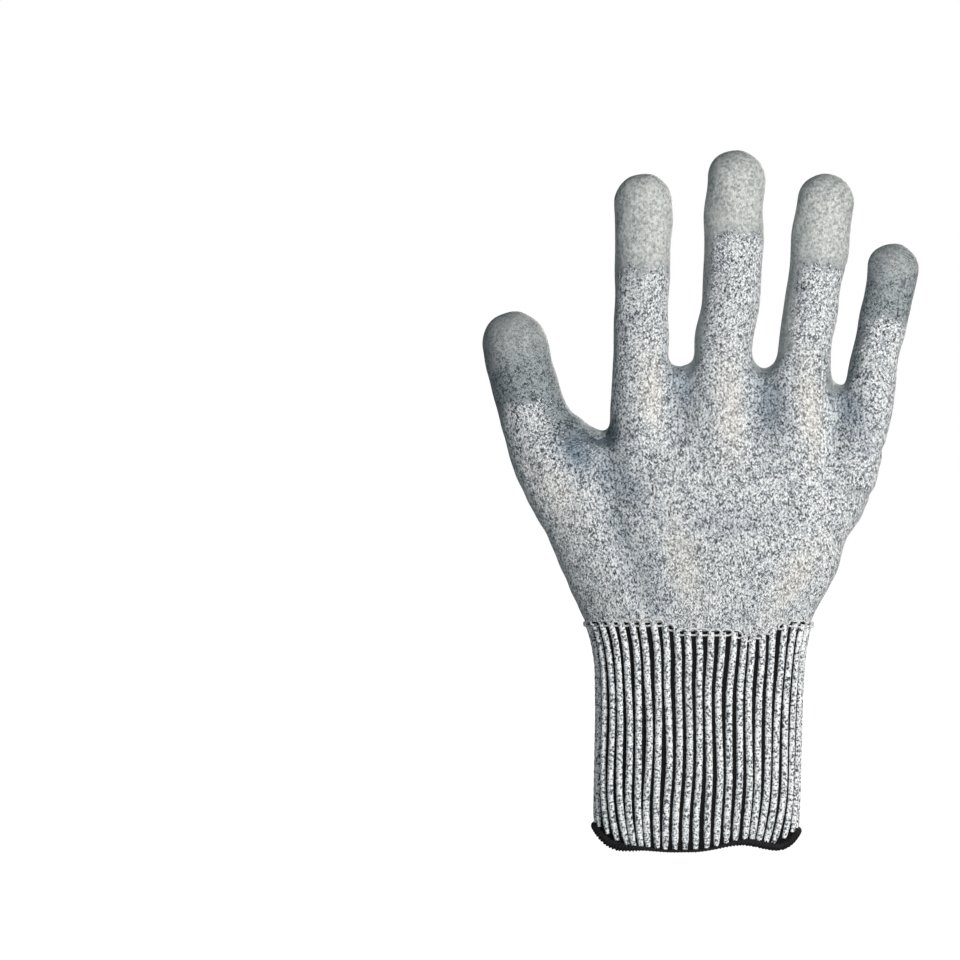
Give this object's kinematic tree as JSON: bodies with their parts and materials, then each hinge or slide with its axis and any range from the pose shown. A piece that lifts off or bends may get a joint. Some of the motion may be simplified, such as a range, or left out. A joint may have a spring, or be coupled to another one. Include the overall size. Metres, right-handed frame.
{
  "type": "cut resistant work glove",
  "caption": "Right-hand cut resistant glove: a knitted liner dipped on the palm and fingertips, with an elastic ribbed cuff and digits that bend.",
  "frame": {"origin": "centre of the cuff's mouth, on the plane of the hem's lower edge", "axes": "+Z from the cuff to the fingertips; +Y out of the palm side, so the back of the hand faces -Y; +X towards the little finger"},
  "size_m": [0.1571, 0.0399, 0.2498],
  "materials": {
    "liner_yarn": "heathered knit, pale grey with darker flecks",
    "dip_coating": "thin matte grey dip with a fine leathery grain",
    "rib_yarn": "pale knitted ribs",
    "elastic_yarn": "black covered elastic",
    "overlock_thread": "black overlock thread"
  },
  "bodies": {
    "cuff": {"overlock_hem": "overlock_thread", "cuff_elastic_ground": "elastic_yarn", "cuff_ribs": "rib_yarn", "cuff_elastic_hoops": "elastic_yarn", "cuff_coating": "dip_coating", "wrist_bend_knit": "rib_yarn"},
    "hand": {"linking_course": "rib_yarn", "lower_palm_knit": "liner_yarn", "upper_palm_knit": "liner_yarn", "palm_coating": "dip_coating", "index_root_bend": "liner_yarn", "middle_root_bend": "liner_yarn", "ring_root_bend": "liner_yarn", "little_root_bend": "liner_yarn", "thumb_root_bend": "liner_yarn"},
    "index_lower": {"index_lower_stall": "liner_yarn", "index_lower_coating": "dip_coating", "index_mid_bend": "liner_yarn"},
    "index_tip": {"index_tip_stall": "liner_yarn", "index_tip_coating": "dip_coating"},
    "middle_lower": {"middle_lower_stall": "liner_yarn", "middle_lower_coating": "dip_coating", "middle_mid_bend": "liner_yarn"},
    "middle_tip": {"middle_tip_stall": "liner_yarn", "middle_tip_coating": "dip_coating"},
    "ring_lower": {"ring_lower_stall": "liner_yarn", "ring_lower_coating": "dip_coating", "ring_mid_bend": "liner_yarn"},
    "ring_tip": {"ring_tip_stall": "liner_yarn", "ring_tip_coating": "dip_coating"},
    "little_lower": {"little_lower_stall": "liner_yarn", "little_lower_coating": "dip_coating", "little_mid_bend": "liner_yarn"},
    "little_tip": {"little_tip_stall": "liner_yarn", "little_tip_coating": "dip_coating"},
    "thumb_lower": {"thumb_lower_stall": "liner_yarn", "thumb_lower_coating": "dip_coating", "thumb_mid_bend": "liner_yarn"},
    "thumb_tip": {"thumb_tip_stall": "liner_yarn", "thumb_tip_coating": "dip_coating"}
  },
  "joints": [
    {"name": "wrist_flex", "type": "hinge", "parent": "cuff", "child": "hand", "pos_m": [0, 0, 0.0698], "axis": [-1, 0, 0], "range_deg": [-40, 40], "stiffness_Nm_per_rad": 0.3, "deforming": ["wrist_bend_knit"]},
    {"name": "index_root", "type": "hinge", "parent": "hand", "child": "index_lower", "pos_m": [-0.0206, 0, 0.18174], "axis": [-0.9998, 0, 0.0209], "range_deg": [-20, 70], "stiffness_Nm_per_rad": 0.012, "deforming": ["index_root_bend"]},
    {"name": "index_mid", "type": "hinge", "parent": "index_lower", "child": "index_tip", "pos_m": [-0.02008, 0, 0.20678], "axis": [-0.9998, 0, 0.0209], "range_deg": [0, 80], "stiffness_Nm_per_rad": 0.008, "deforming": ["index_mid_bend"]},
    {"name": "middle_root", "type": "hinge", "parent": "hand", "child": "middle_lower", "pos_m": [0.0087, 0, 0.18174], "axis": [-0.996, 0, 0.0889], "range_deg": [-20, 70], "stiffness_Nm_per_rad": 0.012, "deforming": ["middle_root_bend"]},
    {"name": "middle_mid", "type": "hinge", "parent": "middle_lower", "child": "middle_tip", "pos_m": [0.01128, 0, 0.21063], "axis": [-0.996, 0, 0.0889], "range_deg": [0, 80], "stiffness_Nm_per_rad": 0.008, "deforming": ["middle_mid_bend"]},
    {"name": "ring_root", "type": "hinge", "parent": "hand", "child": "ring_lower", "pos_m": [0.0385, 0, 0.18174], "axis": [-0.9885, 0, 0.1513], "range_deg": [-20, 70], "stiffness_Nm_per_rad": 0.012, "deforming": ["ring_root_bend"]},
    {"name": "ring_mid", "type": "hinge", "parent": "ring_lower", "child": "ring_tip", "pos_m": [0.04236, 0, 0.20698], "axis": [-0.9885, 0, 0.1513], "range_deg": [0, 80], "stiffness_Nm_per_rad": 0.008, "deforming": ["ring_mid_bend"]},
    {"name": "little_root", "type": "hinge", "parent": "hand", "child": "little_lower", "pos_m": [0.0632, 0, 0.17524], "axis": [-0.9759, 0, 0.2181], "range_deg": [-20, 70], "stiffness_Nm_per_rad": 0.012, "deforming": ["little_root_bend"]},
    {"name": "little_mid", "type": "hinge", "parent": "little_lower", "child": "little_tip", "pos_m": [0.06751, 0, 0.19453], "axis": [-0.9759, 0, 0.2181], "range_deg": [0, 80], "stiffness_Nm_per_rad": 0.008, "deforming": ["little_mid_bend"]},
    {"name": "thumb_root", "type": "hinge", "parent": "hand", "child": "thumb_lower", "pos_m": [-0.0575, 0, 0.14674], "axis": [-0.9659, 0, -0.2588], "range_deg": [-15, 40], "stiffness_Nm_per_rad": 0.012, "deforming": ["thumb_root_bend"]},
    {"name": "thumb_mid", "type": "hinge", "parent": "thumb_lower", "child": "thumb_tip", "pos_m": [-0.06266, 0, 0.16601], "axis": [-0.9781, 0, -0.2079], "range_deg": [0, 55], "stiffness_Nm_per_rad": 0.008, "deforming": ["thumb_mid_bend"]}
  ]
}
